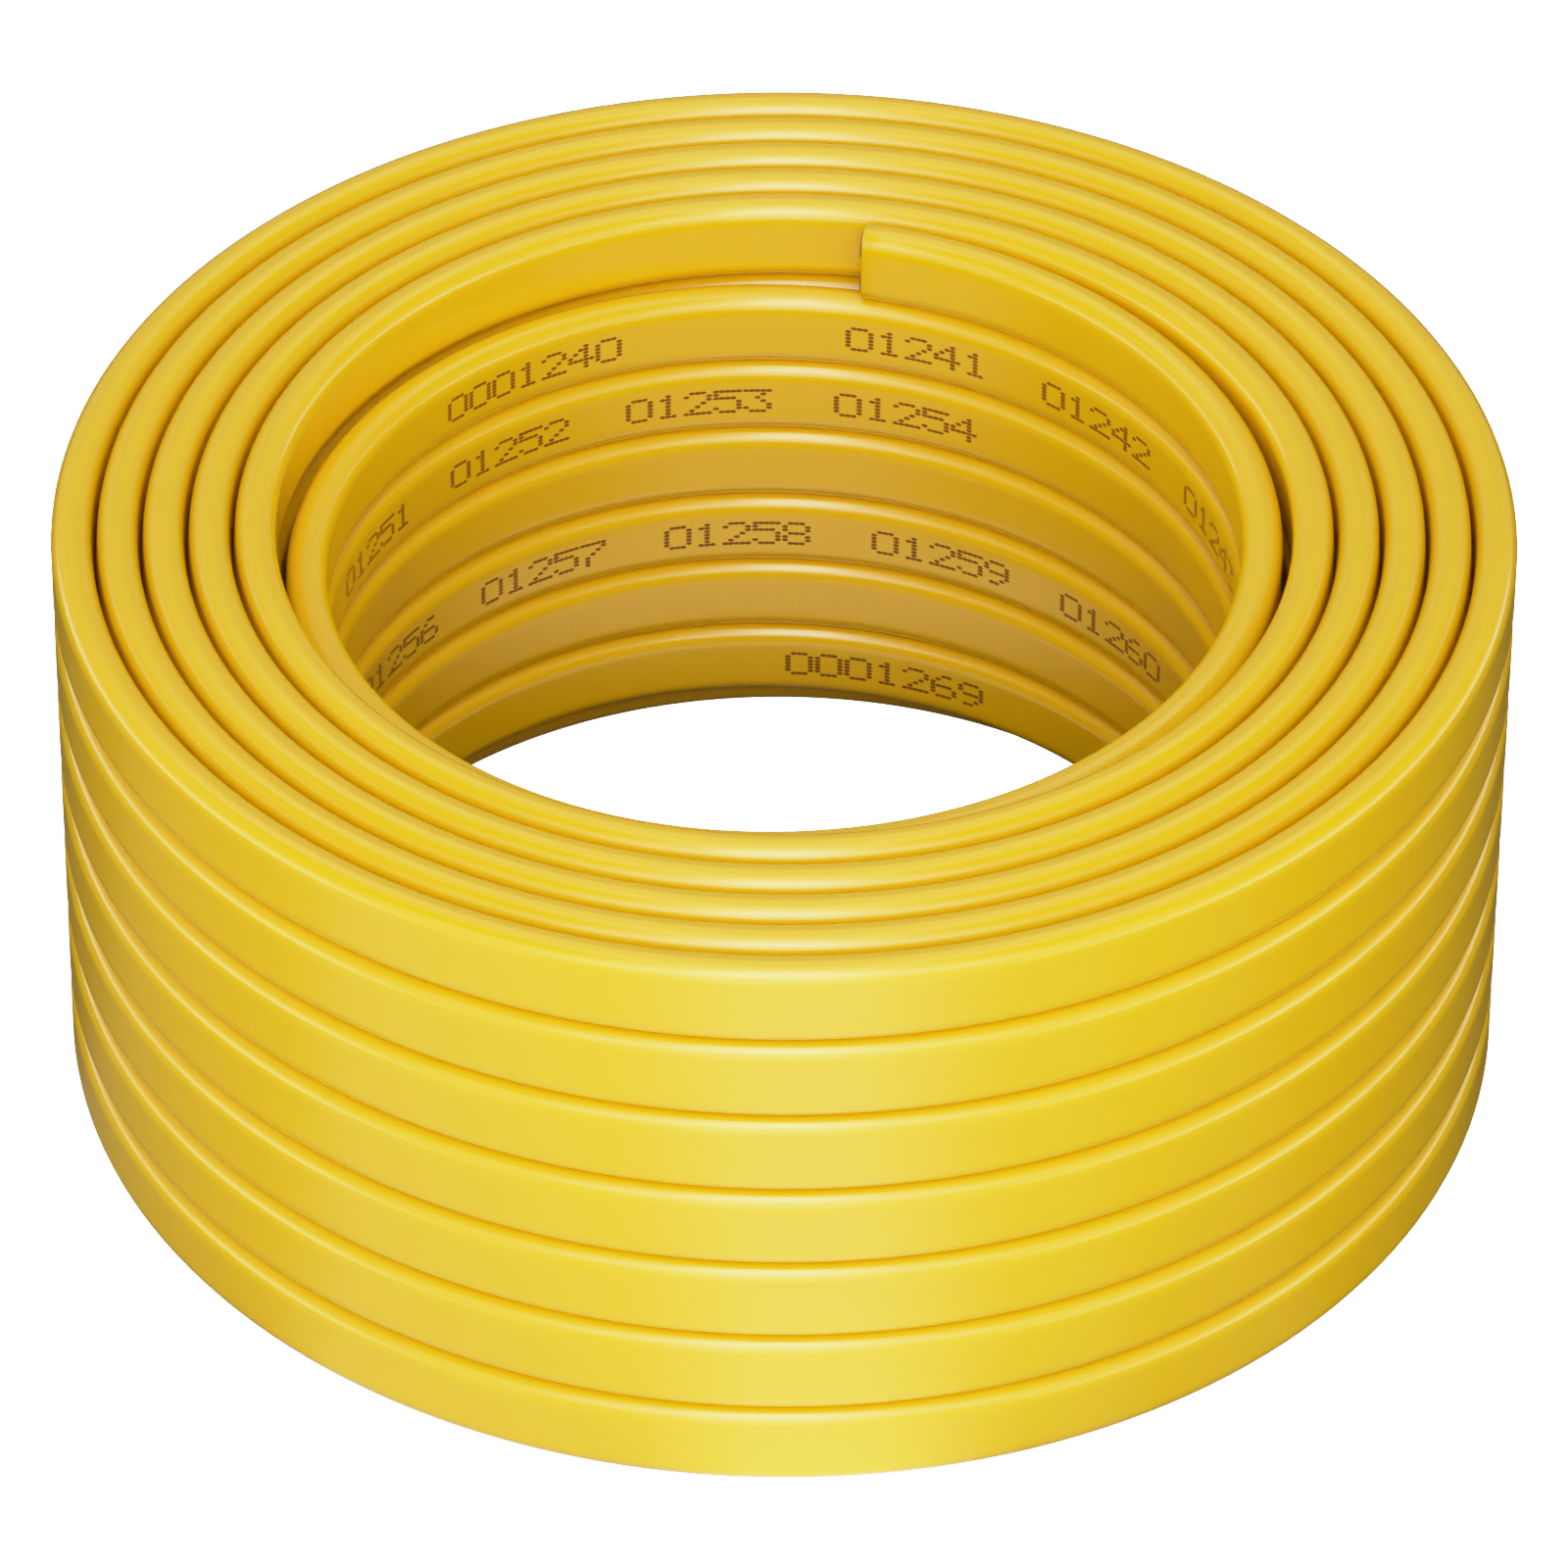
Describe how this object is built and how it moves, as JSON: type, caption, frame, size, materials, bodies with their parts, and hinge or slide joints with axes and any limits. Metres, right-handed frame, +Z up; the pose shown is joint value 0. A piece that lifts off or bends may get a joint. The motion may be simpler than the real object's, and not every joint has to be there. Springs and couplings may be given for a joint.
{
  "type": "coil of flat electrical cable",
  "caption": "Coil of flat yellow electrical cable standing on its end, wound in close concentric layers of upright turns round an open bore, with the inner cut end showing in the bore.",
  "frame": {"origin": "centre of the base, on the coil's axis", "axes": "+Z up along the coil's axis, +Y towards the side of the bore where the cut end lies"},
  "size_m": [0.2, 0.2, 0.0892],
  "materials": {
    "jacket": "soft yellow PVC jacket with a satin sheen"
  },
  "bodies": {
    "root": {"flat_cable_coil": "jacket"}
  },
  "joints": []
}
